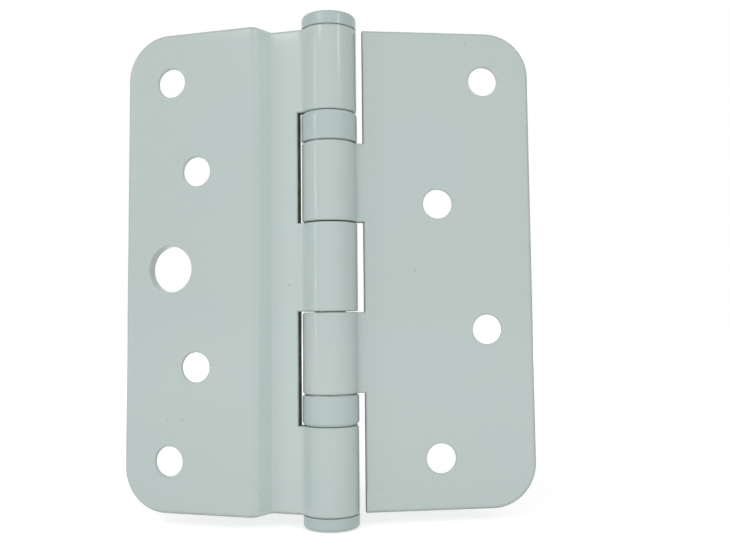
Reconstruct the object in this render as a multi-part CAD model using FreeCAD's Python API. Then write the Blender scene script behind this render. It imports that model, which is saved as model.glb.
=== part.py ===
"""Ball bearing butt hinge with one cranked leaf and one flat leaf, in millimetres.

The frame leaf is cranked: a narrow web beside the barrel, a steep step, then the main
plate that is screwed down. It carries knuckles one, three and five. The door leaf is flat
and carries knuckles two and four. A pin runs through all five knuckles and is closed in
by a cap at each end. Two thrust bearings, each in a drawn cup, sit between the first and
second and between the fourth and fifth knuckles.

The part is drawn about the pin: u is the distance from the pin along a leaf, h is the
height above the pin's plane on the outer side, and Z runs along the pin. The outer side
faces -Y. At the end all of it is shifted, so that the origin is the middle of the frame
leaf's locating hole, on the face that lies against the frame.
"""

import FreeCAD, Part

import math
import os

from FreeCAD import Vector

# Sheet, pin and barrel
SHEET = 2.5
PIN_R = 3.28
RUN_CLEAR = 0.05
LEAF_H = 101.6
LEAF_REACH = 43.3
CORNER_R = 9.4
EDGE_ROUND = 0.6
RIM_ROUND = 0.3

# Knuckles along the pin
MID_KNUCKLE_H = 18.5
DOOR_KNUCKLE_H = 16.8
CUP_H = 6.3
SEAM = 0.2

# Frame leaf, cranked
WEB_FACE_H = 3.6
CRANK_STEP = 5.0
CRANK_START = 11.6
CRANK_ANGLE = 70.0
CRANK_HOLLOW_R = 0.7
CRANK_BROW_R = 2.0
FRAME_SWAGE_R = 2.2
FRAME_NOTCH_U = 6.0

# Door leaf, flat
DOOR_FACE_H = 1.7
DOOR_SWAGE_R = 0.5
DOOR_NOTCH_U = 7.1
REST_FOLD = 22.9

# Slit where the rolled sheet of each knuckle ends at its own leaf
ROLL_SLIT = 0.25

# Screw holes, countersunk from the inner side, and the plain locating hole
SCREW_D = 6.2
SINK_D = 9.8
SINK_ANGLE = 90.0
LOCATING_D = 9.8

# Distances of the holes from the far edge of their leaf and from its nearer end
FRAME_OUTER_EDGE = 10.4
FRAME_INNER_EDGE = 16.4
DOOR_FAR_EDGE = 10.1
DOOR_NEAR_EDGE = 20.4
SCREW_END = 10.7
FRAME_INNER_END = 30.2

# Caps
TOP_CAP_H = 3.0
BOTTOM_CAP_H = 2.6
CAP_ROUND = 0.6
CAP_FOOT = 0.25
SPIGOT_L = 4.0
PIN_BAND_L = 6.0
PIN_CHAMFER = 0.3

# Thrust bearings
CUP_OVER_R = 0.1
CUP_WALL = 0.5
CUP_ROUND = 0.9
CUP_LIP_ROUND = 0.42
BALL_D = 1.5
BALLS = 12
BALL_PITCH_R = 4.38
BALL_CLEAR = 0.05
GROOVE_DEPTH = 0.4
RACE_EDGE_CLEAR = 0.15
CAGE_T = 0.42
CAGE_MARGIN = 0.15
RACE_EDGE = 0.1

# Sizes that follow from the ones above
BORE_R = PIN_R + RUN_CLEAR
BARREL_R = BORE_R + SHEET
HALF_H = LEAF_H / 2
MID_TOP = MID_KNUCKLE_H / 2
DOOR_BOTTOM = MID_TOP + SEAM
DOOR_TOP = DOOR_BOTTOM + DOOR_KNUCKLE_H
CUP_BOTTOM = DOOR_TOP + SEAM
CUP_TOP = CUP_BOTTOM + CUP_H
BALL_R = BALL_D / 2
RACE_FACE = BALL_R + BALL_CLEAR - GROOVE_DEPTH
RACE_BORE_R = BORE_R + RUN_CLEAR
BALL_Z = (DOOR_TOP + CUP_TOP - CUP_WALL) / 2
MAIN_FACE_H = WEB_FACE_H + CRANK_STEP
BROW_U = CRANK_START + CRANK_STEP / math.tan(math.radians(CRANK_ANGLE))
FRAME_OUTER_U = LEAF_REACH - FRAME_OUTER_EDGE
FRAME_INNER_U = LEAF_REACH - FRAME_INNER_EDGE
DOOR_FAR_U = LEAF_REACH - DOOR_FAR_EDGE
DOOR_NEAR_U = LEAF_REACH - DOOR_NEAR_EDGE
SCREW_Z = HALF_H - SCREW_END
FRAME_INNER_Z = HALF_H - FRAME_INNER_END
DOOR_INNER_Z = SCREW_Z / 3
PIN_AXIS = Vector(FRAME_OUTER_U, MAIN_FACE_H, 0)
UP = Vector(0, 0, 1)
OUTWARD = Vector(0, -1, 0)

# How close counts as touching, and where an edge is sampled to tell where it lies
TOUCH = 1e-4
SAMPLES = (0.1, 0.5, 0.9)


def at(u, h, z=0.0):
    """Point at distance u along a leaf that points to +X, h above the pin's plane."""
    return Vector(u, -h, z)


def rounded_path(corners, closed):
    """Edges through corners, each a point and the radius that rounds it."""
    count = len(corners)
    turns = []
    for index, (point, radius) in enumerate(corners):
        if radius == 0:
            turns.append((point, None, point))
            continue
        back = (corners[index - 1][0] - point).normalize()
        ahead = (corners[(index + 1) % count][0] - point).normalize()
        half = back.getAngle(ahead) / 2
        reach = radius / math.tan(half)
        deepest = point + (back + ahead).normalize() * (radius / math.sin(half) - radius)
        turns.append((point + back * reach, deepest, point + ahead * reach))
    edges = []
    for index, (start, deepest, finish) in enumerate(turns):
        if deepest is not None:
            edges.append(Part.Arc(start, deepest, finish).toShape())
        following = turns[(index + 1) % count][0]
        last = index == count - 1 and not closed
        if not last and finish.distanceToPoint(following) > TOUCH:
            edges.append(Part.LineSegment(finish, following).toShape())
    return edges


def rounded_face(corners):
    """Flat face whose rim runs through corners."""
    return Part.Face(Part.Wire(rounded_path(corners, True)))


def prism(corners, bottom, top):
    """Upright solid whose plan is the rounded outline through corners."""
    solid = rounded_face(corners).extrude(Vector(0, 0, top - bottom))
    solid.translate(Vector(0, 0, bottom))
    return solid


def leaf_outline():
    """Solid as tall as a leaf, rounded at its two far corners as seen from in front."""
    corners = [
        (Vector(0, 0, -HALF_H), 0),
        (Vector(LEAF_REACH, 0, -HALF_H), CORNER_R),
        (Vector(LEAF_REACH, 0, HALF_H), CORNER_R),
        (Vector(0, 0, HALF_H), 0),
    ]
    deep = 2 * (MAIN_FACE_H + SHEET)
    solid = rounded_face(corners).extrude(Vector(0, deep, 0))
    solid.translate(Vector(0, -deep / 2, 0))
    return solid


def bent_plate(outer, inner):
    """Sheet between its outer and inner line in plan, cut to the leaf's outline."""
    return prism(outer + inner[::-1], -HALF_H, HALF_H).common(leaf_outline())


def swage_arc(face_h, swage_r):
    """Hollow arc in plan that leads from a leaf's outer face into its barrel."""
    swage_h = face_h + swage_r
    swage_u = math.sqrt((BARREL_R + swage_r) ** 2 - swage_h ** 2)
    on_barrel = BARREL_R / (BARREL_R + swage_r)
    start = at(swage_u, face_h)
    finish = at(swage_u * on_barrel, swage_h * on_barrel)
    centre = at(swage_u, swage_h)
    toward = ((start - centre).normalize() + (finish - centre).normalize()).normalize()
    return start, centre + toward * swage_r, finish


def knuckle(bottom, top, face_h, swage_r, notch_u):
    """Rolled knuckle, its swage into the leaf and the slit at the rolled sheet's end."""
    height = top - bottom
    low = Vector(0, 0, bottom)
    start, middle, finish = swage_arc(face_h, swage_r)
    inner_h = face_h - SHEET
    corners = [
        finish,
        at(BORE_R + SHEET / 2, inner_h),
        at(notch_u + SHEET, inner_h),
        at(notch_u + SHEET, face_h),
        start,
    ]
    edges = [Part.LineSegment(a, b).toShape() for a, b in zip(corners, corners[1:])]
    edges.append(Part.Arc(start, middle, finish).toShape())
    sheet = Part.Face(Part.Wire(edges)).extrude(Vector(0, 0, height))
    sheet.translate(low)
    barrel = Part.makeCylinder(BARREL_R, height, low, UP)
    bore = Part.makeCylinder(BORE_R, height, low, UP)
    slit = Part.makeBox(BARREL_R, ROLL_SLIT, height, at(BORE_R / 2, inner_h, bottom))
    return barrel.fuse(sheet).cut([bore, slit])


def screw_hole(u, z, face_h):
    """Screw hole through a leaf, countersunk from its inner face."""
    inner = at(u, face_h - SHEET, z)
    depth = (SINK_D - SCREW_D) / 2 / math.tan(math.radians(SINK_ANGLE / 2))
    shank = Part.makeCylinder(SCREW_D / 2, SHEET, inner, OUTWARD)
    sink = Part.makeCone(SINK_D / 2, SCREW_D / 2, depth, inner, OUTWARD)
    return shank.fuse(sink)


def frame_lines():
    """Outer and inner line of the cranked leaf in plan."""
    web_in = WEB_FACE_H - SHEET
    main_in = MAIN_FACE_H - SHEET
    shift = SHEET * math.tan(math.radians(CRANK_ANGLE / 2))
    outer = [
        (at(FRAME_NOTCH_U, WEB_FACE_H), 0),
        (at(CRANK_START, WEB_FACE_H), CRANK_HOLLOW_R),
        (at(BROW_U, MAIN_FACE_H), CRANK_BROW_R),
        (at(LEAF_REACH, MAIN_FACE_H), 0),
    ]
    inner = [
        (at(FRAME_NOTCH_U, web_in), 0),
        (at(CRANK_START + shift, web_in), CRANK_BROW_R),
        (at(BROW_U + shift, main_in), CRANK_HOLLOW_R),
        (at(LEAF_REACH, main_in), 0),
    ]
    return outer, inner


def door_lines():
    """Outer and inner line of the flat leaf in plan."""
    ends = (DOOR_NOTCH_U, LEAF_REACH)
    outer = [(at(u, DOOR_FACE_H), 0) for u in ends]
    inner = [(at(u, DOOR_FACE_H - SHEET), 0) for u in ends]
    return outer, inner


def outer_rims(leaf, outer_line, swage, of_outline):
    """Edges round a leaf's outer side: of its outline, or of its holes and knuckles."""
    barrel = Part.makeCircle(BARREL_R)
    side = rounded_path(outer_line, False) + [Part.Arc(*swage).toShape(), barrel]
    plan = Part.Compound(side)
    upright_u = (outer_line[0][0].x, LEAF_REACH)
    rims = []
    for edge in leaf.Edges:
        first, last = edge.ParameterRange
        points = [edge.valueAt(first + (last - first) * part) for part in SAMPLES]
        flat = [Part.Vertex(point.x, point.y, 0) for point in points]
        if any(plan.distToShape(vertex)[0] > TOUCH for vertex in flat):
            continue
        middle = points[1]
        upright = flat[0].Point.distanceToPoint(flat[2].Point) < TOUCH
        if upright and min(abs(middle.x - u) for u in upright_u) > TOUCH:
            continue
        at_end = abs(abs(middle.z) - HALF_H) < TOUCH
        at_far_side = middle.x > LEAF_REACH - CORNER_R and not edge.isClosed()
        if of_outline == (at_end or at_far_side):
            rims.append(edge)
    return rims


def make_leaf(lines, cuts, spans, swage_r):
    """Leaf: a plate with its holes, its knuckles, and the rims rounded on its outer side."""
    outer, inner = lines
    notch_u = outer[0][0].x
    face_h = -outer[0][0].y
    plate = bent_plate(outer, inner).cut(cuts)
    knuckles = [knuckle(bottom, top, face_h, swage_r, notch_u) for bottom, top in spans]
    leaf = plate.fuse(knuckles).removeSplitter().Solids[0]
    swage = swage_arc(face_h, swage_r)
    leaf = leaf.makeFillet(RIM_ROUND, outer_rims(leaf, outer, swage, False))
    return leaf.makeFillet(EDGE_ROUND, outer_rims(leaf, outer, swage, True))


def frame_leaf():
    """Cranked leaf, turned so that it points to -X."""
    centre = at(FRAME_OUTER_U, MAIN_FACE_H - SHEET)
    cuts = [Part.makeCylinder(LOCATING_D / 2, SHEET, centre, OUTWARD)]
    for u, z in ((FRAME_OUTER_U, SCREW_Z), (FRAME_INNER_U, FRAME_INNER_Z)):
        cuts += [screw_hole(u, z, MAIN_FACE_H), screw_hole(u, -z, MAIN_FACE_H)]
    spans = [(-HALF_H, -CUP_TOP), (-MID_TOP, MID_TOP), (CUP_TOP, HALF_H)]
    leaf = make_leaf(frame_lines(), cuts, spans, FRAME_SWAGE_R)
    return leaf.mirror(Vector(0, 0, 0), Vector(1, 0, 0))


def door_leaf():
    """Flat leaf, turned about the pin to the fold that it rests at."""
    places = [
        (DOOR_FAR_U, SCREW_Z),
        (DOOR_NEAR_U, DOOR_INNER_Z),
        (DOOR_FAR_U, -DOOR_INNER_Z),
        (DOOR_NEAR_U, -SCREW_Z),
    ]
    cuts = [screw_hole(u, z, DOOR_FACE_H) for u, z in places]
    spans = [(-DOOR_TOP, -DOOR_BOTTOM), (DOOR_BOTTOM, DOOR_TOP)]
    leaf = make_leaf(door_lines(), cuts, spans, DOOR_SWAGE_R)
    leaf.rotate(Vector(0, 0, 0), UP, REST_FOLD)
    return leaf


def turned(*corners):
    """Solid of revolution through corners, each a radius, a height and a rounding."""
    face = rounded_face([(Vector(r, 0, z), rounding) for r, z, rounding in corners])
    return face.revolve(Vector(0, 0, 0), UP, 360).Solids[0]


def flipped(shape):
    """The same shape at the other end of the pin, turned upside down."""
    return shape.mirror(Vector(0, 0, 0), UP)


def hinge_pin():
    """Plain pin between the two caps, with a thicker band held in the top knuckle."""
    half = HALF_H - SPIGOT_L
    band_low = half - PIN_BAND_L
    return turned(
        (0, -half, 0),
        (PIN_R, -half, PIN_CHAMFER),
        (PIN_R, band_low, 0),
        (BORE_R, band_low, 0),
        (BORE_R, half, PIN_CHAMFER),
        (0, half, 0),
    )


def end_cap(height):
    """Cap at the top with a rounded rim, and a spigot pressed into the knuckle's bore."""
    return turned(
        (0, HALF_H - SPIGOT_L, 0),
        (BORE_R, HALF_H - SPIGOT_L, PIN_CHAMFER),
        (BORE_R, HALF_H, 0),
        (BARREL_R, HALF_H, CAP_FOOT),
        (BARREL_R, HALF_H + height, CAP_ROUND),
        (0, HALF_H + height, 0),
    )


def bearing_cup():
    """Drawn cup of the upper bearing, its closed end against the first knuckle."""
    outer = BARREL_R + CUP_OVER_R
    inner = outer - CUP_WALL
    floor = CUP_TOP - CUP_WALL
    return turned(
        (BORE_R, floor, 0),
        (inner, floor, CUP_ROUND - CUP_WALL),
        (inner, CUP_BOTTOM, 0),
        (outer, CUP_BOTTOM, CUP_LIP_ROUND),
        (outer, CUP_TOP, CUP_ROUND),
        (BORE_R, CUP_TOP, 0),
    )


def race(bottom, top, outer, low_edge, high_edge):
    """Hardened ring with a round groove for the balls."""
    blank = turned(
        (RACE_BORE_R, bottom, 0),
        (outer, bottom, low_edge),
        (outer, top, high_edge),
        (RACE_BORE_R, top, 0),
    )
    centre = Vector(0, 0, BALL_Z)
    groove = Part.makeTorus(BALL_PITCH_R, BALL_R + BALL_CLEAR, centre, UP)
    return blank.cut(groove)


def fixed_race():
    """Race of the upper bearing that sits in the cup."""
    outer = BARREL_R + CUP_OVER_R - CUP_WALL
    seat_edge = CUP_ROUND - CUP_WALL + RACE_EDGE
    return race(BALL_Z + RACE_FACE, CUP_TOP - CUP_WALL, outer, RACE_EDGE, seat_edge)


def turning_race():
    """Race of the upper bearing that stands on the second knuckle."""
    outer = BARREL_R + CUP_OVER_R - CUP_WALL - RACE_EDGE_CLEAR
    return race(DOOR_TOP, BALL_Z - RACE_FACE, outer, RACE_EDGE, RACE_EDGE)


def ball_places():
    """Centres of the balls of the upper bearing."""
    step = 2 * math.pi / BALLS
    turns = [step * index for index in range(BALLS)]
    return [Vector(BALL_PITCH_R * math.cos(turn), BALL_PITCH_R * math.sin(turn), BALL_Z)
            for turn in turns]


def ball_cage():
    """Flat cage of the upper bearing, with a pocket for each ball."""
    pocket_r = BALL_R + BALL_CLEAR
    outer = BALL_PITCH_R + pocket_r + CAGE_MARGIN
    inner = BALL_PITCH_R - pocket_r - CAGE_MARGIN
    bottom = Vector(0, 0, BALL_Z - CAGE_T / 2)
    ring = Part.makeCylinder(outer, CAGE_T, bottom, UP)
    ring = ring.cut(Part.makeCylinder(inner, CAGE_T, bottom, UP))
    pockets = [Part.makeCylinder(pocket_r, CAGE_T, place - UP * (CAGE_T / 2), UP)
               for place in ball_places()]
    return ring.cut(pockets)


def bearing_pieces():
    """Named pieces of the upper thrust bearing."""
    pieces = {
        "bearing_cup": bearing_cup(),
        "fixed_race": fixed_race(),
        "turning_race": turning_race(),
        "ball_cage": ball_cage(),
    }
    for number, place in enumerate(ball_places(), start=1):
        pieces["ball_%02d" % number] = Part.makeSphere(BALL_R, place)
    return pieces


def hinge_pieces():
    """Every piece of the hinge by name, drawn about the pin."""
    pieces = {
        "frame_leaf": frame_leaf(),
        "door_leaf": door_leaf(),
        "hinge_pin": hinge_pin(),
        "top_cap": end_cap(TOP_CAP_H),
        "bottom_cap": flipped(end_cap(BOTTOM_CAP_H)),
    }
    for name, shape in bearing_pieces().items():
        pieces["upper_" + name] = shape
        pieces["lower_" + name] = flipped(shape)
    return pieces


def main():
    """Shift every piece to the hinge's own frame and write it."""
    os.makedirs("parts", exist_ok=True)
    for name, shape in hinge_pieces().items():
        solid = shape.Solids[0]
        solid.translate(PIN_AXIS)
        solid.exportStep("parts/" + name + ".step")


main()
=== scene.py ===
"""Looks of a five-knuckle ball bearing butt hinge in a pale grey-green powder coat.

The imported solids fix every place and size. The two leaves are made again here as a
press shop makes them: a flat blank is cut and punched, its edges are rounded, and then
it is cranked and rolled round the pin. Caps and bearing cups are turned and drawn. The
pin, races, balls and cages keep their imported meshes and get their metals.

Lengths are in millimetres until a mesh is finished, and u, h and z mean the distance
from the pin along a leaf, the height on the outer side, and the place along the pin.
"""

import logging
import math
from dataclasses import dataclass
from enum import Enum
from typing import Any, Optional, Union

import bmesh
import bpy
from bmesh.types import BMEdge, BMesh, BMFace, BMVert
from mathutils import Matrix, Quaternion, Vector

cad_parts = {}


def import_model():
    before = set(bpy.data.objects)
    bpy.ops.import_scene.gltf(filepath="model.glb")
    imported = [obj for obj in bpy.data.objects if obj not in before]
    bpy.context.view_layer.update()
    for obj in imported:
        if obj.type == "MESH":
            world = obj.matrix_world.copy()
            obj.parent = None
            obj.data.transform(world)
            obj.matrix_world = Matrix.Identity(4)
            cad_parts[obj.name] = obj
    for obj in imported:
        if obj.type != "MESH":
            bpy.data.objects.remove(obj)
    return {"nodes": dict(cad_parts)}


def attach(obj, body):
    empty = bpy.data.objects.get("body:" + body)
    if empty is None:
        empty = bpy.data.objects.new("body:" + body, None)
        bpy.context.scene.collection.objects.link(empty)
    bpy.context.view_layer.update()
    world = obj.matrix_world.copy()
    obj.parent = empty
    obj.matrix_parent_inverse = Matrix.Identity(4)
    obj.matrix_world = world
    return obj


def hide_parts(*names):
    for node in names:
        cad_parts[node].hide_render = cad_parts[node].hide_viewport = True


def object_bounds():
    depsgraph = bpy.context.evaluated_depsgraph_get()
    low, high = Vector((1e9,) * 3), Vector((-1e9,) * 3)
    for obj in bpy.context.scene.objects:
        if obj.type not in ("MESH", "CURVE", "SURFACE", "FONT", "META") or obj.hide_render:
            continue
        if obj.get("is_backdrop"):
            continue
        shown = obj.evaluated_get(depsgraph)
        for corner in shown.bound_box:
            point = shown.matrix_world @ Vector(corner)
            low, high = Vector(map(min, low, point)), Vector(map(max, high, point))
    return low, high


LOG = logging.getLogger("hinge")

# One millimetre in metres, and the distance within which places count as the same
MM = 0.001
NEAR = 1e-3

# The angle in degrees above which an edge stays sharp
SHARP_ANGLE = 40.0

# The UV map that keeps each point's place on the flat blank, in metres
BLANK_MAP = "blank"

# Sizes that several pieces share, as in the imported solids
SHEET = 2.5
BORE_R = 3.33
BARREL_R = 5.83
HALF_H = 50.8
LEAF_REACH = 43.3
CORNER_R = 9.4
ROLL_SLIT = 0.25
PIN_U = 32.9
PIN_H = 8.6
REST_ANGLE = 22.9

Point = tuple[float, float]
Place = tuple[float, float, float]
Colour = tuple[float, float, float]
Stroke = tuple[float, float, float, float]
Operand = Union[float, "Signal"]
Inputs = dict[Union[int, str], Any]
Tone = Union[Colour, "Signal"]


class Body(Enum):
    """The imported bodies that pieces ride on."""

    FRAME = "frame_side"
    DOOR = "door_side"


class Slot(Enum):
    """The record's material slots."""

    LEAF = "painted_leaf"
    CAP = "painted_cap"
    CUP = "painted_cup"


# Shader maths
class Signal:
    """A number that varies over a surface: one output socket with arithmetic."""

    def __init__(self, surface: "Surface", socket: bpy.types.NodeSocket) -> None:
        """Wrap an output socket of a surface's tree."""
        self.surface = surface
        self.socket = socket

    def _maths(
        self, operation: str, first: Operand, second: Optional[Operand] = None
    ) -> "Signal":
        """One Math node on one value or two."""
        inputs = {0: first} if second is None else {0: first, 1: second}
        return self.surface.add("ShaderNodeMath", {"operation": operation}, inputs)

    def __add__(self, other: Operand) -> "Signal":
        """Sum."""
        return self._maths("ADD", self, other)

    def __radd__(self, other: Operand) -> "Signal":
        """Sum with the number on the left."""
        return self._maths("ADD", other, self)

    def __sub__(self, other: Operand) -> "Signal":
        """Difference."""
        return self._maths("SUBTRACT", self, other)

    def __rsub__(self, other: Operand) -> "Signal":
        """Difference with the number on the left."""
        return self._maths("SUBTRACT", other, self)

    def __mul__(self, other: Operand) -> "Signal":
        """Product."""
        return self._maths("MULTIPLY", self, other)

    def __rmul__(self, other: Operand) -> "Signal":
        """Product with the number on the left."""
        return self._maths("MULTIPLY", other, self)

    def __truediv__(self, other: Operand) -> "Signal":
        """Quotient."""
        return self._maths("DIVIDE", self, other)

    def most(self, other: Operand) -> "Signal":
        """The larger of two values."""
        return self._maths("MAXIMUM", self, other)

    def beside(self, output: Union[int, str]) -> "Signal":
        """Another output of the same node."""
        return Signal(self.surface, self.socket.node.outputs[output])

    def size(self) -> "Signal":
        """The value without its sign."""
        return self._maths("ABSOLUTE", self)

    def root(self) -> "Signal":
        """The value's square root."""
        return self._maths("SQRT", self)

    def fade(self, low: float, high: float) -> "Signal":
        """Soft step over the value.

        Args:
            low: where the result is 0.
            high: where the result is 1, and it may be below low.

        Returns:
            0 to 1, with a smooth run between.
        """
        inputs = {0: self, 1: low, 2: high}
        if low > high:
            inputs = {0: self, 1: high, 2: low, 3: 1.0, 4: 0.0}
        return self.surface.add(
            "ShaderNodeMapRange", {"interpolation_type": "SMOOTHSTEP"}, inputs
        )


class Surface:
    """The node tree of a material or of the world, filled one node at a time."""

    def __init__(self, owner: Union[bpy.types.Material, bpy.types.World]) -> None:
        """Start with an empty tree.

        Args:
            owner: the material or the world.
        """
        owner.use_nodes = True
        self.owner = owner
        self.tree = owner.node_tree
        self.tree.nodes.clear()

    def add(
        self,
        kind: str,
        settings: Optional[dict[str, Any]] = None,
        inputs: Optional[Inputs] = None,
        output: Union[int, str] = 0,
    ) -> Signal:
        """Add a node.

        Args:
            kind: the node's type.
            settings: its properties, set first.
            inputs: values or links of its sockets, by name or number.
            output: which output to return.

        Returns:
            The output, ready for arithmetic.
        """
        node = self.tree.nodes.new(kind)
        for name, value in (settings or {}).items():
            setattr(node, name, value)
        for key, value in (inputs or {}).items():
            if isinstance(value, Signal):
                self.tree.links.new(value.socket, node.inputs[key])
            else:
                node.inputs[key].default_value = value
        return Signal(self, node.outputs[output])

    def close(self, kind: str, result: Signal) -> None:
        """Add the node that the tree ends in and give it what the tree shows."""
        node = self.tree.nodes.new(kind)
        self.tree.links.new(result.socket, node.inputs["Surface"])

    def vectors(self, operation: str, inputs: Inputs, output: str = "Vector") -> Signal:
        """One Vector Math node."""
        return self.add("ShaderNodeVectorMath", {"operation": operation}, inputs, output)

    def scaled(self, vector: Signal, scale: Operand) -> Signal:
        """A vector or a colour times a number."""
        return self.vectors("SCALE", {0: vector, "Scale": scale})

    def position(self) -> Signal:
        """Place on the piece in millimetres, as a vector."""
        return self.scaled(self.add("ShaderNodeTexCoord", output="Object"), 1 / MM)

    def blank_place(self) -> Signal:
        """Place on the flat blank in millimetres, as a vector of run and height."""
        return self.scaled(self.add("ShaderNodeUVMap", {"uv_map": BLANK_MAP}), 1 / MM)

    def blank_run_rise(self) -> tuple[Signal, Signal]:
        """Run and height on the flat blank in millimetres, as two numbers."""
        run = self.add("ShaderNodeSeparateXYZ", {}, {0: self.blank_place()}, 0)
        return run, run.beside(1)

    def noise(self, place: Signal, pitch: float, detail: float = 2.0) -> Signal:
        """Noise from 0 to 1 with humps about a pitch apart, both in millimetres."""
        inputs = {"Vector": place, "Scale": 1 / pitch, "Detail": detail}
        return self.add("ShaderNodeTexNoise", {"noise_dimensions": "3D"}, inputs)

    def cells(self, place: Signal, pitch: float) -> tuple[Signal, Signal]:
        """Random points about one pitch apart.

        Args:
            place: the vector they lie on, in millimetres.
            pitch: their rough distance, in millimetres.

        Returns:
            The distance to the nearest point in pitches, and a random number for it.
        """
        inputs = {"Vector": place, "Scale": 1 / pitch}
        near = self.add("ShaderNodeTexVoronoi", {}, inputs, "Distance")
        return near, self.add("ShaderNodeSeparateColor", {}, {0: near.beside("Color")}, 0)

    def mix(self, share: Operand, first: Tone, second: Tone) -> Signal:
        """Blend two colours.

        Args:
            share: how much of the second.
            first: a colour or a colour socket.
            second: a colour or a colour socket.

        Returns:
            The blended colour.
        """
        pair = [c if isinstance(c, Signal) else (*c, 1.0) for c in (first, second)]
        return self.add(
            "ShaderNodeMix",
            {"data_type": "RGBA", "clamp_factor": True},
            {0: share, 6: pair[0], 7: pair[1]},
            2,
        )

    def bump(self, height: Signal, reach: float, under: Optional[Signal] = None) -> Signal:
        """Bump from a height.

        Args:
            height: the relief, 0 to 1.
            reach: how high 1 stands, in millimetres.
            under: a normal that it is added to.

        Returns:
            The bent normal.
        """
        inputs: Inputs = {"Height": height, "Distance": reach * MM}
        if under is not None:
            inputs["Normal"] = under
        return self.add("ShaderNodeBump", {}, inputs, "Normal")

    def finish(
        self, colour: Signal, roughness: Signal, normal: Signal, **more: float
    ) -> bpy.types.Material:
        """Close the tree with its shader.

        Args:
            colour: the base colour.
            roughness: the roughness.
            normal: the normal.
            more: values of further sockets.

        Returns:
            The material.
        """
        inputs = {"Base Color": colour, "Roughness": roughness, "Normal": normal, **more}
        shader = self.add("ShaderNodeBsdfPrincipled", {}, inputs)
        self.close("ShaderNodeOutputMaterial", shader)
        return self.owner


# Finishes
@dataclass(frozen=True)
class PaintedLight:
    """A stretch of the blank's run painted a little paler: painted light standing in for
    light bounced between the bends and the web.
    """

    first: float
    last: float
    gain: float
    soft: float = 0.5


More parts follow.
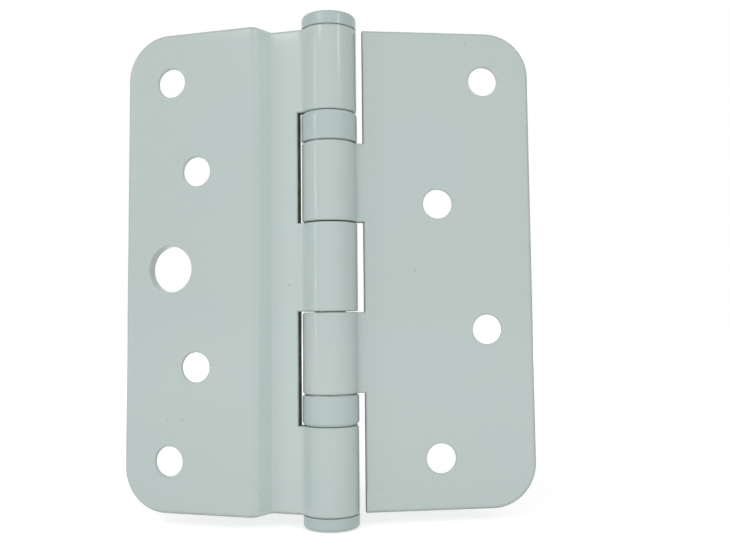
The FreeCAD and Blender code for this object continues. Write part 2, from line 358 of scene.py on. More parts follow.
@dataclass(frozen=True)
class PowderCoat:
    """Glossy powder coat with a faint orange peel, specks, scratches, thin edges darkened
    with painted shade, and painted light in given bends.

    Pitches, widths, depths and the relief are in millimetres.
    """

    name: str
    colour: Colour
    cool: Colour
    roughness: float = 0.15
    scratches: tuple[Stroke, ...] = ()
    painted_lights: tuple[PaintedLight, ...] = ()
    on_blank: bool = False
    wide_pitch: float = 26.0
    cloud_pitch: float = 7.0
    peel_pitch: float = 1.5
    grit_pitch: float = 0.42
    base_tone: float = 0.985
    cloud_tone: float = 0.010
    grit_tone: float = 0.022
    relief: float = 0.006
    speck_pitch: float = 3.6
    speck_reach: float = 0.055
    speck_cover: float = 0.65
    scratch_cover: float = 0.5
    # How dark and how wide the edge band is: thin coat plus painted edge shade
    edge_shade_cover: float = 0.65
    edge_shade_width: float = 0.85
    fall_width: float = 3.4
    fall_depth: float = 0.05

    def build(self) -> bpy.types.Material:
        """Make the material.

        Returns:
            The finished material.
        """
        coat = Surface(bpy.data.materials.new(self.name))
        place = coat.position()
        wide = coat.noise(place, self.wide_pitch, 3.0)
        cloud = coat.noise(place, self.cloud_pitch, 2.0)
        peel = coat.noise(place, self.peel_pitch, 1.5)
        grit = coat.noise(place, self.grit_pitch, 1.0)
        speck = self._specks(coat, place)

        tone = coat.mix(wide.fade(0.2, 0.8), self.colour, self.cool)
        shade = self.base_tone + cloud * self.cloud_tone + grit * self.grit_tone
        # Painted light: given stretches of the run are made paler.
        if self.painted_lights:
            shade = shade * self._painted_light(coat)
        tone = coat.mix(speck * self.speck_cover, coat.scaled(tone, shade), DIRT)
        dull = self.roughness + speck * 0.3
        height = peel * 0.55 + cloud * 1.4
        if self.scratches:
            scratch = self._scratches(coat)
            tone = coat.mix(scratch * self.scratch_cover, tone, SCRATCHED)
            dull = dull + scratch * 0.2
            height = height - scratch * 1.2
        normal = coat.bump(height, self.relief)
        if self.on_blank:
            gap = self._edge(coat)
            # Thin coat at the outline, darkened further as painted shade of the dark
            # reflections along the edges.
            thin_edge_shade = gap.fade(self.edge_shade_width, 0.0)
            tone = coat.mix(thin_edge_shade * thin_edge_shade * self.edge_shade_cover, tone, THIN_COAT_EDGE_SHADE)
            normal = coat.bump(self._fall(gap), self.fall_depth, normal)
        return coat.finish(tone, dull, normal, IOR=1.5)

    def _painted_light(self, coat: Surface) -> Signal:
        """How much paler the painted light makes the coat in the bends and on the web.

        Args:
            coat: the material.

        Returns:
            The gain in brightness.
        """
        run, _ = coat.blank_run_rise()
        gain: Operand = 1.0
        for light_patch in self.painted_lights:
            rise = run.fade(light_patch.first - light_patch.soft, light_patch.first + light_patch.soft)
            drop = run.fade(light_patch.last + light_patch.soft, light_patch.last - light_patch.soft)
            gain = gain + rise * drop * (light_patch.gain - 1.0)
        return gain

    def _specks(self, coat: Surface, place: Signal) -> Signal:
        """Small dark specks of dirt in the coat.

        Args:
            coat: the material.
            place: the place on the piece.

        Returns:
            1 on a speck.
        """
        near, chance = coat.cells(place, self.speck_pitch)
        reach = chance.fade(0.55, 1.0) * self.speck_reach
        return (reach - near).fade(0.0, 0.02)

    def _scratches(self, coat: Surface) -> Signal:
        """Fine scratches between given points of the blank.

        Args:
            coat: the material.

        Returns:
            1 in a scratch.
        """
        worn = coat.noise(coat.blank_place(), 0.9, 2.0).fade(0.34, 0.62)
        run, rise = coat.blank_run_rise()
        found: Optional[Signal] = None
        for run_a, rise_a, run_b, rise_b in self.scratches:
            length = math.hypot(run_b - run_a, rise_b - rise_a)
            along_x, along_y = (run_b - run_a) / length, (rise_b - rise_a) / length
            forward = (run - run_a) * along_x + (rise - rise_a) * along_y
            aside = ((run - run_a) * along_y - (rise - rise_a) * along_x).size()
            inside = forward.fade(0.0, 0.6) * forward.fade(length, length - 0.9)
            line = inside * aside.fade(0.09, 0.02)
            found = line if found is None else found.most(line)
        return found * worn

    def _fall(self, gap: Signal) -> Signal:
        """How the punched sheet falls off, from 1 on the plate to 0 at the edge."""
        short = (1.0 - gap / self.fall_width).most(0.0)
        return 1.0 - short * short

    def _edge(self, coat: Surface) -> Signal:
        """How far a point of the leaf is from its outline.

        Args:
            coat: the material.

        Returns:
            The distance from the nearest edge in millimetres.
        """
        run, rise = coat.blank_run_rise()
        past_run = (CORNER_R - run).most(0.0)
        past_rise = (rise.size() - (HALF_H - CORNER_R)).most(0.0)
        squares = past_run * past_run + past_rise * past_rise
        return CORNER_R - squares.root()


@dataclass(frozen=True)
class BareSteel:
    """Steel that the coat doesn't reach: ends of knuckles, notches and bores, which can be
    kept dark as painted shade of slots and seams.
    """

    name: str
    colour: Colour
    roughness: float
    metallic: float = 0.6
    cloud_pitch: float = 2.4
    grain_pitch: float = 0.18
    darkening: float = 0.55
    relief: float = 0.008

    def build(self) -> bpy.types.Material:
        """Make the material.

        Returns:
            The finished material.
        """
        steel = Surface(bpy.data.materials.new(self.name))
        place = steel.position()
        cloud = steel.noise(place, self.cloud_pitch, 4.0)
        fine = steel.noise(place, self.grain_pitch, 2.0)
        dark = tuple(part * self.darkening for part in self.colour)
        tone = steel.mix(cloud.fade(0.32, 0.68), self.colour, dark)
        dull = self.roughness + (cloud - 0.5) * 0.2
        normal = steel.bump(fine * 0.6 + cloud * 0.4, self.relief)
        return steel.finish(tone, dull, normal, Metallic=self.metallic)


@dataclass(frozen=True)
class TurnedMetal:
    """Turned or ground metal with fine rings round the pin and a film of oil."""

    name: str
    colour: Colour
    roughness: float
    ring_pitch: float
    ring_depth: float
    film_pitch: float = 3.0
    film_tint: Colour = (0.86, 0.80, 0.70)

    def build(self) -> bpy.types.Material:
        """Make the material.

        Returns:
            The finished material.
        """
        metal = Surface(bpy.data.materials.new(self.name))
        place = metal.position()
        squash = (0.04, 0.04, 1.0)
        rings = metal.vectors("MULTIPLY", {0: place, 1: squash})
        lines = metal.noise(rings, self.ring_pitch, 3.0)
        film = metal.noise(place, self.film_pitch, 3.0)
        warm = tuple(part * tint for part, tint in zip(self.colour, self.film_tint))
        tone = metal.mix(film.fade(0.42, 0.75), self.colour, warm)
        dull = self.roughness + (film - 0.5) * 0.12 + (lines - 0.5) * 0.1
        normal = metal.bump(lines, self.ring_depth)
        return metal.finish(tone, dull, normal, Metallic=1.0)


PAINT = (0.511, 0.583, 0.559)
PAINT_COOL = (0.504, 0.581, 0.567)
CAP_PAINT = (0.448, 0.534, 0.520)
CAP_COOL = (0.441, 0.531, 0.524)
CUP_PAINT = (0.470, 0.555, 0.548)
CUP_COOL = (0.462, 0.552, 0.552)
DIRT = (0.06, 0.05, 0.035)
SCRATCHED = (0.30, 0.36, 0.35)
# Dark tone at the leaves' edges: thin coat and painted edge shade
THIN_COAT_EDGE_SHADE = (0.20, 0.24, 0.22)
# Bare steel for notch walls, bores and knuckle ends, kept very dark as painted shade of
# the narrow slots and seams
BARE_STEEL_SLOT_SHADE = BareSteel("uncoated_steel_slot_shade", (0.19, 0.215, 0.17), 0.62, metallic=0.2)


# Mesh helpers
class Axis(Enum):
    """The directions of the flat blank."""

    RUN = (1.0, 0.0, 0.0)
    DEPTH = (0.0, 1.0, 0.0)
    RISE = (0.0, 0.0, 1.0)


def only(items: list[Any], kind: type) -> list[Any]:
    """The items of one kind."""
    return [item for item in items if isinstance(item, kind)]


def face_out(bm: BMesh) -> None:
    """Turn every face outward."""
    bmesh.ops.recalc_face_normals(bm, faces=bm.faces[:])


def hang(name: str, data: bpy.types.ID) -> bpy.types.Object:
    """Put an object with this data into the scene."""
    made = bpy.data.objects.new(name, data)
    bpy.context.scene.collection.objects.link(made)
    return made


def put(
    bm: BMesh,
    name: str,
    materials: list[bpy.types.Material],
    body: Body,
) -> None:
    """Turn a finished bmesh in millimetres about the pin into a piece of the hinge.

    Args:
        bm: the mesh, which is freed.
        name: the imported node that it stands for.
        materials: its materials.
        body: the body it rides on.
    """
    place = Matrix.Translation((PIN_U, PIN_H, 0.0))
    bmesh.ops.transform(bm, matrix=Matrix.Scale(MM, 4) @ place, verts=bm.verts[:])
    for face in bm.faces:
        face.smooth = True
    mesh = bpy.data.meshes.new(name + "_coated")
    bm.to_mesh(mesh)
    bm.free()
    mesh.set_sharp_from_angle(angle=math.radians(SHARP_ANGLE))
    for material in materials:
        mesh.materials.append(material)
    piece = hang(name + "_coated", mesh)
    weigh = piece.modifiers.new("even_shading", "WEIGHTED_NORMAL")
    weigh.keep_sharp = True
    weigh.weight = 80
    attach(piece, body.value)
    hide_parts(name)
    LOG.info("%s: %d faces", piece.name, len(mesh.polygons))


def bevel(
    bm: BMesh, geom: list[Any], offset: float, segments: int, affect: str = "EDGES"
) -> None:
    """Round edges, or corners of a flat sheet.

    Args:
        bm: the mesh.
        geom: the edges, or the vertices.
        offset: the radius.
        segments: the number of steps across the rounding.
        affect: EDGES or VERTICES.
    """
    bmesh.ops.bevel(
        bm,
        geom=geom,
        offset=offset,
        offset_type="OFFSET",
        segments=segments,
        profile=0.5,
        affect=affect,
        clamp_overlap=affect == "EDGES",
        material=-1,
    )


def cut(bm: BMesh, faces: list[BMFace], axis: Axis, level: float) -> None:
    """Cut faces square to an axis, and keep both sides.

    Args:
        bm: the mesh.
        faces: the faces that may be cut.
        axis: the axis.
        level: where the cut crosses it.
    """
    edges = {edge for face in faces for edge in face.edges}
    verts = {vert for face in faces for vert in face.verts}
    bmesh.ops.bisect_plane(
        bm,
        geom=[*faces, *edges, *verts],
        dist=1e-5,
        plane_co=Vector(axis.value) * level,
        plane_no=axis.value,
    )


# Leaves
@dataclass(frozen=True)
class Hole:
    """A hole of a leaf, by its place on the blank."""

    run: float
    rise: float
    radius: float
    sink_radius: float = 0.0

    def distance(self, point: Vector) -> float:
        """How far a point of the blank is from the hole's axis."""
        return math.hypot(point.x - self.run, point.z - self.rise)


@dataclass(frozen=True)
class Crank:
    """The two bends between the web and the main plate of the frame leaf."""

    start: float = 11.6
    step: float = 5.0
    angle: float = 70.0
    hollow_r: float = 0.7
    brow_r: float = 2.0


def between(first: Point, last: Point, share: float) -> Point:
    """A point of the line from one point to another."""
    return tuple(a + (b - a) * share for a, b in zip(first, last))


def polar(radius: float, degrees: float) -> Point:
    """The point of a circle about the origin at an angle."""
    turn = math.radians(degrees)
    return radius * math.cos(turn), radius * math.sin(turn)


class Course:
    """The bent sheet in plan: pairs of points on its two sides along the blank's run.

    It also holds the runs at which the notches and the roll start.
    """

    def __init__(self) -> None:
        """Start with no pair."""
        self.runs: list[float] = []
        self.outer: list[Point] = []
        self.inner: list[Point] = []
        self.notch = 0.0
        self.roll = 0.0

    @property
    def end(self) -> float:
        """The run at which the tongues end."""
        return self.runs[-1]

    def add(self, outer: Point, inner: Point) -> float:
        """Add the next pair.

        Args:
            outer: the point on the outer side, as u and h.
            inner: the point on the inner side.

        Returns:
            The pair's run along the blank.
        """
        run = 0.0
        if self.runs:
            last, last_in = self.outer[-1], self.inner[-1]
            run = self.runs[-1] + math.hypot(
                (outer[0] + inner[0] - last[0] - last_in[0]) / 2,
                (outer[1] + inner[1] - last[1] - last_in[1]) / 2,
            )
        self.runs.append(run)
        self.outer.append(outer)
        self.inner.append(inner)
        return run

    def place(self, run: float, depth: float) -> Point:
        """Where a point of the blank ends up.

        Args:
            run: its run along the blank.
            depth: 0 on the outer side to 1 on the inner side.

        Returns:
            Its u and h.
        """
        index = 1
        while index < len(self.runs) - 1 and self.runs[index] < run:
            index += 1
        span = self.runs[index] - self.runs[index - 1]
        share = (run - self.runs[index - 1]) / span
        outer = between(self.outer[index - 1], self.outer[index], share)
        inner = between(self.inner[index - 1], self.inner[index], share)
        return between(outer, inner, depth)


def round_the_corner(
    corner: Point, radius: float, first: float, last: float, share: float
) -> Point:
    """A point of the arc that rounds a corner.

    Args:
        corner: the sharp corner.
        radius: the arc's radius.
        first: the direction from the arc's centre to its first point, in degrees.
        last: the direction to its last point.
        share: how far along the arc, 0 to 1.

    Returns:
        The point.
    """
    reach = radius / math.cos(math.radians(last - first) / 2)
    back = polar(reach, (first + last) / 2)
    out = polar(radius, first + (last - first) * share)
    return corner[0] - back[0] + out[0], corner[1] - back[1] + out[1]


@dataclass
class Leaf:
    """One leaf of the hinge, cut, punched, rounded, cranked and rolled."""

    name: str
    body: Body
    face_h: float
    swage_r: float
    notch_u: float
    spans: tuple[Point, ...]
    holes: tuple[Hole, ...]
    turn: Matrix
    crank: Optional[Crank] = None
    edge_round: float = 0.9
    rim_round: float = 0.45
    back_round: float = 0.15
    fade_run: float = 3.0
    web_margin: float = 2.0
    cell: float = 6.0
    roll_steps: int = 72
    bend_steps: int = 8

    def course(self) -> Course:
        """The leaf's bent line.

        Returns:
            The line.
        """
        line = Course()
        inner_h = self.face_h - SHEET
        plate_h = self.face_h
        if self.crank is not None:
            plate_h += self.crank.step
        line.add((LEAF_REACH, plate_h), (LEAF_REACH, plate_h - SHEET))
        if self.crank is not None:
            self._crank_line(line, plate_h)
        line.notch = line.add((self.notch_u, self.face_h), (self.notch_u, inner_h))
        self._roll_line(line, inner_h)
        return line

    def _crank_line(self, line: Course, plate_h: float) -> None:
        """Add the main plate's end, the two bends and the web's start.

        Args:
            line: the line.
            plate_h: the height of the main plate's outer face.
        """
        bend = self.crank
        slope = math.tan(math.radians(bend.angle))
        brow_u = bend.start + bend.step / slope
        shift = SHEET * math.tan(math.radians(bend.angle / 2))
        flat_u = brow_u + 2 * shift
        line.add((flat_u, plate_h), (flat_u, plate_h - SHEET))
        steps = [step / self.bend_steps for step in range(self.bend_steps + 1)]
        up, down = (90.0, 90.0 + bend.angle), (bend.angle - 90.0, -90.0)
        inner_h = self.face_h - SHEET
        under_brow = (brow_u + shift, plate_h - SHEET)
        under_hollow = (bend.start + shift, inner_h)
        for share in steps:
            line.add(
                round_the_corner((brow_u, plate_h), bend.brow_r, *up, share),
                round_the_corner(under_brow, bend.hollow_r, *up, share),
            )
        for share in steps:
            line.add(
                round_the_corner((bend.start, self.face_h), bend.hollow_r, *down, share),
                round_the_corner(under_hollow, bend.brow_r, *down, share),
            )
        web_u = self.notch_u + self.web_margin
        line.add((web_u, self.face_h), (web_u, inner_h))

    def _roll_line(self, line: Course, inner_h: float) -> None:
        """Add the swage and the roll round the pin.

        Args:
            line: the line.
            inner_h: the height of the sheet's inner face before the roll.
        """
        swage_h = self.face_h + self.swage_r
        swage_u = math.sqrt((BARREL_R + self.swage_r) ** 2 - swage_h**2)
        meet = math.degrees(math.atan2(swage_h, swage_u))
        bore_u = math.sqrt(BORE_R**2 - inner_h**2)
        line.add((swage_u, self.face_h), (swage_u, inner_h))
        for step in range(1, self.bend_steps + 1):
            share = step / self.bend_steps
            out = polar(self.swage_r, -90.0 + (meet - 90.0) * share)
            inner = (swage_u + (bore_u - swage_u) * share, inner_h)
            line.roll = line.add((swage_u + out[0], swage_h + out[1]), inner)
        end_h = inner_h - ROLL_SLIT
        outer_to = 360.0 + math.degrees(math.asin(end_h / BARREL_R))
        inner_from = math.degrees(math.asin(inner_h / BORE_R))
        inner_to = 360.0 + math.degrees(math.asin(end_h / BORE_R))
        for step in range(1, self.roll_steps + 1):
            share = step / self.roll_steps
            outer_turn = meet + (outer_to - meet) * share
            inner_turn = inner_from + (inner_to - inner_from) * share
            line.add(polar(BARREL_R, outer_turn), polar(BORE_R, inner_turn))

    def blank(self, line: Course) -> BMesh:
        """The flat blank's outer side: outline, tongues and holes, one layer.

        Args:
            line: the course.

        Returns:
            The mesh, with run on X and height on Z.
        """
        bm = bmesh.new()
        notch, end = line.notch, line.end
        corners = ((0.0, -HALF_H), (end, -HALF_H), (end, HALF_H), (0.0, HALF_H))
        bm.faces.new([bm.verts.new((run, 0.0, rise)) for run, rise in corners])
        far = [vert for vert in bm.verts if vert.co.x < NEAR]
        bevel(bm, far, CORNER_R, 24, "VERTICES")
        cut(bm, bm.faces[:], Axis.RUN, notch)
        for edge in sorted({edge for span in self.spans for edge in span}):
            beyond = [f for f in bm.faces if f.calc_center_bounds().x > notch]
            if abs(edge) < HALF_H - NEAR:
                cut(bm, beyond, Axis.RISE, edge)
        gaps = [
            face
            for face in bm.faces
            if face.calc_center_bounds().x > notch
            and not any(a < face.calc_center_bounds().z < b for a, b in self.spans)
        ]
        bmesh.ops.delete(bm, geom=gaps, context="FACES")
        for hole in self.holes:
            self._punch(bm, hole, notch)
        face_out(bm)
        return bm

    def _punch(self, bm: BMesh, hole: Hole, notch: float) -> None:
        """Punch a hole into a square cell of the blank.

        Args:
            bm: the blank.
            hole: the hole.
            notch: the run of the notches' inner edge.
        """
        for side in (-self.cell, self.cell):
            plate = [f for f in bm.faces if f.calc_center_bounds().x < notch]
            cut(bm, plate, Axis.RISE, hole.rise + side)
        for side in (-self.cell, self.cell):
            band = [
                f
                for f in bm.faces
                if f.calc_center_bounds().x < notch
                and abs(f.calc_center_bounds().z - hole.rise) < NEAR
            ]
            cut(bm, band, Axis.RUN, hole.run + side)
        centre = Vector((hole.run, 0, hole.rise))
        cell = min(bm.faces, key=lambda f: (f.calc_center_bounds() - centre).length)
        sides = list(cell.edges)
        bmesh.ops.delete(bm, geom=[cell], context="FACES_ONLY")
        stand = Matrix.Translation(centre) @ Matrix.Rotation(math.radians(90), 4, "X")
        ring = bmesh.ops.create_circle(
            bm, segments=56, radius=hole.radius, cap_ends=False, matrix=stand
        )
        rim = {edge for vert in ring["verts"] for edge in vert.link_edges}
        bmesh.ops.triangle_fill(
            bm, edges=[*sides, *rim], use_beauty=True, use_dissolve=False
        )

    def thicken(self, bm: BMesh) -> None:
        """Give the blank its thickness and its countersinks.

        Args:
            bm: the blank.
        """
        made = bmesh.ops.extrude_face_region(bm, geom=bm.faces[:])
        bmesh.ops.translate(bm, verts=only(made["geom"], BMVert), vec=(0, SHEET, 0))
        face_out(bm)
        for hole in [hole for hole in self.holes if hole.sink_radius]:
            centre = Vector((hole.run, 0, hole.rise))
            wall = [
                f
                for f in bm.faces
                if abs(f.normal.y) < 0.5
                and hole.distance(f.calc_center_median()) < hole.radius
            ]
            depth = hole.sink_radius - hole.radius
            cut(bm, wall, Axis.DEPTH, SHEET - depth)
            rim = [
                v
                for v in bm.verts
                if v.co.y > SHEET - NEAR and hole.distance(v.co) < hole.radius + NEAR
            ]
            grow = hole.sink_radius / hole.radius
            bmesh.ops.scale(
                bm, vec=(grow, 1, grow), space=Matrix.Translation(-centre), verts=rim
            )
        face_out(bm)

    def round_edges(self, bm: BMesh, line: Course) -> None:
        """Round the rims of the blank on both sides.

        Args:
            bm: the thick blank.
            line: the course.
        """
        groups: dict[float, list[BMEdge]] = {
            self.edge_round: [],
            self.rim_round: [],
            self.back_round: [],
        }
        for edge in bm.edges:
            level = [vert.co.y for vert in edge.verts]
            if len(edge.link_faces) != 2 or abs(level[0] - level[1]) > NEAR:
                continue
            flat = [abs(face.normal.y) > 0.9 for face in edge.link_faces]
            middle = (edge.verts[0].co + edge.verts[1].co) / 2
            if flat[0] == flat[1] or middle.x > line.end - NEAR:
                continue
            if level[0] > SHEET - NEAR:
                groups[self.back_round].append(edge)
            elif level[0] < NEAR:
                at_hole = any(h.distance(middle) < h.radius + NEAR for h in self.holes)
                outline = abs(middle.z) > HALF_H - NEAR or middle.x < CORNER_R
                offset = self.edge_round if outline and not at_hole else self.rim_round
                groups[offset].append(edge)
        for offset, edges in groups.items():
            alive = [edge for edge in edges if edge.is_valid]
            bevel(bm, alive, offset, 6 if offset > self.back_round else 2)

    def _tighten_ends(self, bm: BMesh, notch: float) -> None:
        """Make the rounding at the barrel's ends as tight as at the other knuckles.

        Args:
            bm: the thick blank with rounded edges.
            notch: the run of the notches' inner edge.
        """
        tight = self.rim_round / self.edge_round
        for vert in bm.verts:
            drop = HALF_H - abs(vert.co.z)
            if vert.co.x < notch or max(drop, vert.co.y) > self.edge_round + NEAR:
                continue
            share = min(1.0, (vert.co.x - notch) / self.fade_run)
            scale = 1.0 + (tight - 1.0) * share
            vert.co.y *= scale
            vert.co.z = math.copysign(HALF_H - drop * scale, vert.co.z)

    def bend(self, bm: BMesh, line: Course) -> None:
        """Mark what stays uncoated and dark as painted slot shade, map the blank, and bend
        it to its course.

        Args:
            bm: the thick blank with rounded edges.
            line: the course.
        """
        for run in line.runs[1:-1]:
            cut(bm, bm.faces[:], Axis.RUN, run)
        self._tighten_ends(bm, line.notch)
        layer = bm.loops.layers.uv.new(BLANK_MAP)
        for face in bm.faces:
            for loop in face.loops:
                loop[layer].uv = (loop.vert.co.x * MM, loop.vert.co.z * MM)
            centre = face.calc_center_median()
            in_notch = centre.x > line.notch - NEAR and abs(centre.z) < HALF_H - 1.0
            wall = abs(face.normal.y) < 0.1 and in_notch
            bore = face.normal.y > 0.9 and centre.x > line.roll
            # Notch walls, bores and tongue ends take the dark bare steel, which also
            # paints the shade in the slots and seams.
            face.material_index = int(wall or bore or centre.x > line.end - NEAR)
        for vert in bm.verts:
            u, h = line.place(vert.co.x, vert.co.y / SHEET)
            vert.co = Vector((u, -h, vert.co.z))
        bmesh.ops.transform(bm, matrix=self.turn, verts=bm.verts[:])
        face_out(bm)

    def build(self, coat: PowderCoat) -> None:
        """Make the leaf.

        Args:
            coat: its powder coat.
        """
        line = self.course()
        bm = self.blank(line)
        self.thicken(bm)
        self.round_edges(bm, line)
        self.bend(bm, line)
        put(bm, self.name, [coat.build(), BARE_STEEL_SLOT_SHADE.build()], self.body)


# Caps and cups
@dataclass
class EndCap:
    """Turned cap at one end of the pin, with its spigot."""

    name: str
    height: float
    upward: bool
    rim_round: float
    foot_round: float = 0.1
    spigot: float = 4.0
    sides: int = 96

    def build(self, coat: PowderCoat) -> None:
        """Make the cap.

        Args:
            coat: its powder coat.
        """
        bm = bmesh.new()
        middle = Matrix.Translation((0, 0, HALF_H + self.height / 2))
        bmesh.ops.create_cone(
            bm,
            cap_ends=True,
            segments=self.sides,
            radius1=BARREL_R,
            radius2=BARREL_R,
            depth=self.height,
            matrix=middle,
        )
        for level, radius, steps in (
            (HALF_H + self.height, self.rim_round, 6),
            (HALF_H, self.foot_round, 3),
        ):
            rim = [e for e in bm.edges if all(abs(v.co.z - level) < NEAR for v in e.verts)]
            bevel(bm, rim, radius, steps)
        foot = min(bm.faces, key=lambda f: f.calc_center_median().z)
        inset = BARREL_R - self.foot_round - BORE_R
        bmesh.ops.inset_individual(bm, faces=[foot], thickness=inset)
        grown = bmesh.ops.extrude_face_region(bm, geom=[foot])
        tip = only(grown["geom"], BMVert)
        bmesh.ops.translate(bm, verts=tip, vec=(0, 0, -self.spigot))
        if not self.upward:
            bmesh.ops.scale(bm, vec=(1, 1, -1), verts=bm.verts[:])
        face_out(bm)
        put(bm, self.name, [coat.build()], Body.FRAME)


@dataclass
class BearingCup:
    """Drawn cup over one thrust bearing."""

    name: str
    upward: bool
    bottom: float = 26.45
    top: float = 32.75
    radius: float = 5.93
    wall: float = 0.5
    crown_round: float = 1.0
    lip_round: float = 0.4
    sides: int = 96

    def build(self, coat: PowderCoat) -> None:
        """Make the cup.

        Args:
            coat: its powder coat.
        """
        bm = bmesh.new()
        low = Matrix.Translation((0, 0, self.bottom))
        ring = bmesh.ops.create_circle(
            bm, segments=self.sides, radius=self.radius, cap_ends=False, matrix=low
        )
        rim = list({edge for vert in ring["verts"] for edge in vert.link_edges})
        side = bmesh.ops.extrude_edge_only(bm, edges=rim)["geom"]
        high = only(side, BMVert)
        bmesh.ops.translate(bm, verts=high, vec=(0, 0, self.top - self.bottom))
        crown = only(side, BMEdge)
        hole = only(bmesh.ops.extrude_edge_only(bm, edges=crown)["geom"], BMVert)
        share = BORE_R / self.radius
        bmesh.ops.scale(bm, vec=(share, share, 1), verts=hole)
        face_out(bm)
        outward = sum(f.normal.dot(f.calc_center_median()) for f in bm.faces)
        if outward < 0:
            bmesh.ops.reverse_faces(bm, faces=bm.faces[:])
        bevel(bm, [e for e in crown if e.is_valid], self.crown_round, 8)
        bmesh.ops.solidify(bm, geom=bm.faces[:], thickness=self.wall)
        lip = [
            e
            for e in bm.edges
            if all(
                abs(v.co.z - self.bottom) < NEAR
                and abs(v.co.xy.length - self.radius) < 0.02
                for v in e.verts
            )
        ]
        bevel(bm, lip, self.lip_round, 4)
        if not self.upward:
            bmesh.ops.scale(bm, vec=(1, 1, -1), verts=bm.verts[:])
            bmesh.ops.reverse_faces(bm, faces=bm.faces[:])
        put(bm, self.name, [coat.build()], Body.FRAME)


# Inner pieces
@dataclass(frozen=True)
class InnerPieces:
    """The pin, races, balls and cages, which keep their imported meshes."""

    pin: TurnedMetal = TurnedMetal("pin_steel", (0.55, 0.55, 0.54), 0.30, 0.25, 0.004)
    race: TurnedMetal = TurnedMetal("race_steel", (0.58, 0.57, 0.55), 0.22, 0.12, 0.002)
    ball: TurnedMetal = TurnedMetal("ball_steel", (0.66, 0.66, 0.66), 0.10, 0.6, 0.0008)
    cage: TurnedMetal = TurnedMetal("cage_brass", (0.62, 0.44, 0.20), 0.34, 0.3, 0.003)

    def dress(self, nodes: dict[str, bpy.types.Object]) -> None:
        """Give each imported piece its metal.

        A cage's name holds the balls' key too, so the last key that fits counts.

        Args:
            nodes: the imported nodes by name.
        """
        finishes = {
            "_pin": self.pin.build(),
            "_race": self.race.build(),
            "_ball_": self.ball.build(),
            "_cage": self.cage.build(),
        }
        for name, node in sorted(nodes.items()):
            fitting = [finish for key, finish in finishes.items() if key in name]
            if fitting:
                node.data.materials.clear()
                node.data.materials.append(fitting[-1])
                LOG.info("%s: %s", name, fitting[-1].name)


# Studio
FLOOR_WHITE = (0.86, 0.86, 0.86, 1.0)
FLOOR_DROP = 0.0002


@dataclass(frozen=True)
class Lamp:
    """A soft rectangular lamp, in metres.

    Its place is from the pin to the right, away and up as the camera sees the hinge.
    """

    name: str
    place: Place
    size: tuple[float, float]
    watts: float
    colour: Colour = (1.0, 1.0, 1.0)
    lean: float = 0.0
    glossy: bool = True


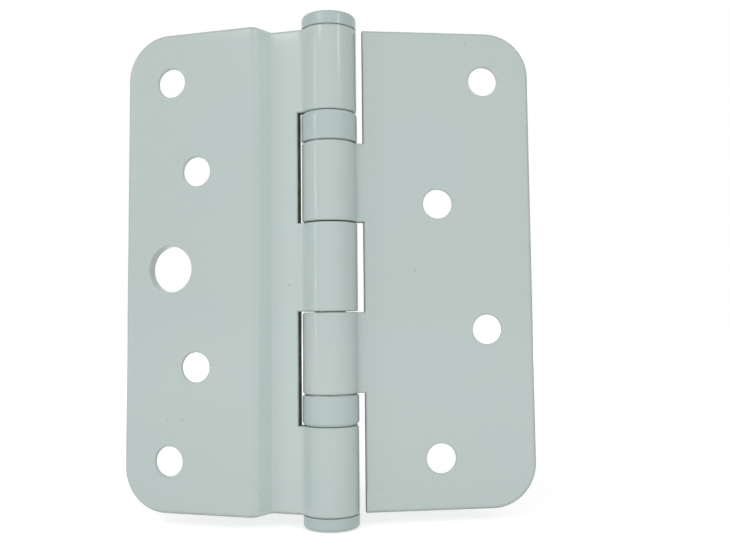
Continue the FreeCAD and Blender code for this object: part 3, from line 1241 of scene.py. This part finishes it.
@dataclass
class Studio:
    """Pale floor, white surroundings and soft lamps."""

    turn: Matrix
    floor_z: float
    ambient: float = 0.262
    room: float = 0.34
    ceiling: float = 0.05
    floor_glow: float = 0.52
    floor_gain: float = 0.26
    floor_size: float = 2.5
    lamps: tuple[Lamp, ...] = (
        Lamp("front_lamp", (0.03, -0.20, -0.01), (0.26, 0.20), 0.16, glossy=False),
        Lamp(
            "window_lamp", (-0.70, -0.49, 0.10), (0.90, 1.20), 1.1, (0.94, 0.985, 1.0),
            glossy=False,
        ),
        Lamp("strip_lamp", (-0.470, -0.285, 0.085), (0.020, 0.26), 0.14, lean=-8.0),
        Lamp("left_high_lamp", (-0.506, -0.696, 0.550), (0.22, 0.35), 1.10),
        Lamp("right_high_lamp", (0.63, -0.63, 0.49), (0.16, 0.40), 0.70),
        Lamp("rear_lamp", (0.25, 0.90, 0.45), (0.80, 0.60), 1.6, glossy=False),
    )

    def build(self) -> None:
        """Make the floor, the world and the lamps."""
        self._floor()
        self._world()
        for lamp in self.lamps:
            self._lamp(lamp)

    @staticmethod
    def _rays(tree: Surface) -> tuple[Signal, Signal, Signal]:
        """1 for rays from the camera, off gloss, and through glass."""
        camera = tree.add("ShaderNodeLightPath", output="Is Camera Ray")
        return camera, camera.beside("Is Glossy Ray"), camera.beside("Is Transmission Ray")

    def _floor(self) -> None:
        """A pale floor that stays white to the camera and keeps the hinge's shadow."""
        bm = bmesh.new()
        lay = Matrix.Translation((0, 0, self.floor_z))
        bmesh.ops.create_grid(
            bm, x_segments=1, y_segments=1, size=self.floor_size, matrix=lay
        )
        mesh = bpy.data.meshes.new("floor")
        bm.to_mesh(mesh)
        bm.free()
        surface = Surface(bpy.data.materials.new("floor_white"))
        camera, gloss, through = self._rays(surface)
        plain = camera.most(gloss).most(through)
        matt = surface.add("ShaderNodeBsdfDiffuse", {}, {"Color": FLOOR_WHITE})
        place = surface.add("ShaderNodeTexCoord", output="Object")
        inputs = {0: place, 1: (PIN_U * MM, PIN_H * MM, self.floor_z)}
        away = surface.vectors("DISTANCE", inputs, "Value")
        level = self.floor_glow + away.fade(0.12, 0.8) * self.floor_gain
        glow = surface.add("ShaderNodeEmission", {}, {"Strength": plain * level})
        both = surface.add("ShaderNodeAddShader", {}, {0: matt, 1: glow})
        surface.close("ShaderNodeOutputMaterial", both)
        mesh.materials.append(surface.owner)
        hang("floor", mesh)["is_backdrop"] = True

    def _world(self) -> None:
        """White surroundings, and the light of a room that is brighter in front.

        The camera sees white all round. Gloss sees white behind the hinge and the room
        before it, so that the coat shows the lamps' outlines.
        """
        tree = Surface(bpy.data.worlds.new("surroundings"))
        bpy.context.scene.world = tree.owner
        facing = tree.add("ShaderNodeTexCoord", output="Generated")
        front = self.turn @ Vector((0.0, -1.0, 0.0))
        ahead = tree.vectors("DOT_PRODUCT", {0: facing, 1: tuple(front)}, "Value")
        above = tree.add("ShaderNodeSeparateXYZ", {}, {0: facing}, 2)
        camera, gloss, through = self._rays(tree)
        white = camera.most(gloss.most(through) * ahead.fade(0.2, -0.4))
        light = self.ambient + ahead.fade(-0.6, 0.8) * self.room
        light = light + above.fade(0.1, 0.9) * self.ceiling
        level = white + (1.0 - white) * light
        inputs = {"Color": (1.0, 1.0, 1.0, 1.0), "Strength": level}
        sky = tree.add("ShaderNodeBackground", {}, inputs)
        tree.close("ShaderNodeOutputWorld", sky)

    def _lamp(self, lamp: Lamp) -> None:
        """Hang one lamp and aim it at the pin.

        Args:
            lamp: the lamp.
        """
        data = bpy.data.lights.new(lamp.name, "AREA")
        data.shape = "RECTANGLE"
        data.size, data.size_y = lamp.size
        data.energy = lamp.watts
        data.color = lamp.colour
        hung = hang(lamp.name, data)
        hung.visible_glossy = lamp.glossy
        target = Vector((PIN_U, PIN_H, 0)) * MM
        spot = target + self.turn @ Vector(lamp.place)
        hung.location = spot
        lean = Quaternion((0.0, 0.0, 1.0), math.radians(lamp.lean))
        hung.rotation_euler = ((target - spot).to_track_quat("-Z", "Y") @ lean).to_euler()


@dataclass(frozen=True)
class Viewpoint:
    """The camera, fitted to the outline, the seams and the holes of the hinge.

    It stands in millimetres from the pin and is pitched and rolled in radians.
    """

    focal_pixels: float = 880.33
    centre_pixels: Point = (375.84, 249.36)
    frame_pixels: tuple[int, int] = (730, 550)
    stand: Place = (9.6505, -185.2111, -10.3957)
    pitch: float = -0.076
    roll: float = 0.0108
    azimuth: float = 16.09
    sensor: float = 36.0

    def turn(self) -> Matrix:
        """The turn about the pin from the camera's directions to the hinge's own."""
        return Matrix.Rotation(math.radians(self.azimuth), 4, "Z")

    def build(self) -> None:
        """Make the camera and use it."""
        width, height = self.frame_pixels
        data = bpy.data.cameras.new("viewpoint")
        data.sensor_width = self.sensor
        data.lens = self.focal_pixels / width * self.sensor
        data.shift_x = (width / 2 - self.centre_pixels[0]) / width
        data.shift_y = (self.centre_pixels[1] - height / 2) / width
        data.clip_start = 0.001
        forward = Vector((0, math.cos(self.pitch), -math.sin(self.pitch)))
        upright = Vector((0, math.sin(self.pitch), math.cos(self.pitch)))
        level = Vector((1, 0, 0))
        right = math.cos(self.roll) * level - math.sin(self.roll) * upright
        top = math.cos(self.roll) * upright + math.sin(self.roll) * level
        look = Matrix((right, top, -forward)).transposed().to_4x4()
        pin = Matrix.Translation(Vector((PIN_U, PIN_H, 0)) * MM)
        stand = Matrix.Translation(Vector(self.stand) * MM)
        camera = hang("viewpoint", data)
        camera.matrix_world = pin @ self.turn() @ stand @ look
        bpy.context.scene.camera = camera


# Rims of knuckles and cups, by their distance from the barrel's middle
MIDDLE_RIM = 9.25
DOOR_RIMS = (9.45, 26.25)
END_RIM = 32.75

# Holes, by their distance from the leaf's edge and from its middle
SCREW_R = 3.1
SINK_R = 4.9
PLAIN_R = 4.9
FRAME_ROWS = (10.4, 16.4)
DOOR_ROWS = (10.1, 20.4)
OUTER_Z = 40.1
INNER_Z = 20.6
THIRD_Z = OUTER_Z / 3


def screw_hole(run: float, rise: float) -> Hole:
    """A countersunk screw hole."""
    return Hole(run, rise, SCREW_R, SINK_R)


FRAME_HOLES = (
    screw_hole(FRAME_ROWS[0], OUTER_Z),
    screw_hole(FRAME_ROWS[1], INNER_Z),
    Hole(FRAME_ROWS[0], 0.0, PLAIN_R),
    screw_hole(FRAME_ROWS[1], -INNER_Z),
    screw_hole(FRAME_ROWS[0], -OUTER_Z),
)
DOOR_HOLES = (
    screw_hole(DOOR_ROWS[0], OUTER_Z),
    screw_hole(DOOR_ROWS[1], THIRD_Z),
    screw_hole(DOOR_ROWS[0], -THIRD_Z),
    screw_hole(DOOR_ROWS[1], -OUTER_Z),
)


def build_leaves() -> None:
    """Make the two leaves in their coats."""
    scratches = ((28.0, -42.0, 31.0, -49.0), (17.5, -38.0, 25.5, -42.5))
    # Painted light: the ramp, a line in the hollow and the web are painted paler, in place
    # of the light they bounce onto each other.
    painted_lights = (
        PaintedLight(29.2, 33.7, 1.17),
        PaintedLight(33.4, 33.7, 1.04, soft=0.15),
        PaintedLight(33.7, 43.5, 1.06),
    )
    frame_coat = PowderCoat(
        "frame_leaf_coat", PAINT, PAINT_COOL,
        scratches=scratches, painted_lights=painted_lights, on_blank=True,
    )
    Leaf(
        "frame_leaf", Body.FRAME, face_h=3.6, swage_r=2.2, notch_u=6.0,
        spans=((-HALF_H, -END_RIM), (-MIDDLE_RIM, MIDDLE_RIM), (END_RIM, HALF_H)),
        holes=FRAME_HOLES, turn=Matrix.Scale(-1.0, 4, (1, 0, 0)), crank=Crank(),
    ).build(frame_coat)
    Leaf(
        "door_leaf", Body.DOOR, face_h=1.7, swage_r=0.5, notch_u=7.1,
        spans=((-DOOR_RIMS[1], -DOOR_RIMS[0]), DOOR_RIMS),
        holes=DOOR_HOLES, turn=Matrix.Rotation(math.radians(REST_ANGLE), 4, "Z"),
    ).build(PowderCoat("door_leaf_coat", PAINT, PAINT_COOL, on_blank=True))


def build_barrel() -> None:
    """Make the caps and the bearing cups in their coats."""
    for name, height, upward, rim in (
        ("top_cap", 3.0, True, 1.0),
        ("bottom_cap", 2.6, False, 0.7),
    ):
        coat = PowderCoat(name + "_coat", CAP_PAINT, CAP_COOL)
        EndCap(name, height, upward, rim).build(coat)
    for name, upward in (("upper_bearing_cup", True), ("lower_bearing_cup", False)):
        coat = PowderCoat(name + "_coat", CUP_PAINT, CUP_COOL)
        BearingCup(name, upward).build(coat)


def main() -> None:
    """Build the hinge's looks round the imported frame."""
    logging.basicConfig(level=logging.INFO, format="%(name)s: %(message)s")
    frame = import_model()
    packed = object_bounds()

    build_leaves()
    build_barrel()
    InnerPieces().dress(frame["nodes"])

    view = Viewpoint()
    view.build()
    Studio(view.turn(), packed[0].z - FLOOR_DROP).build()
    bpy.context.scene.view_settings.view_transform = "Standard"


if __name__ == "__main__":
    main()
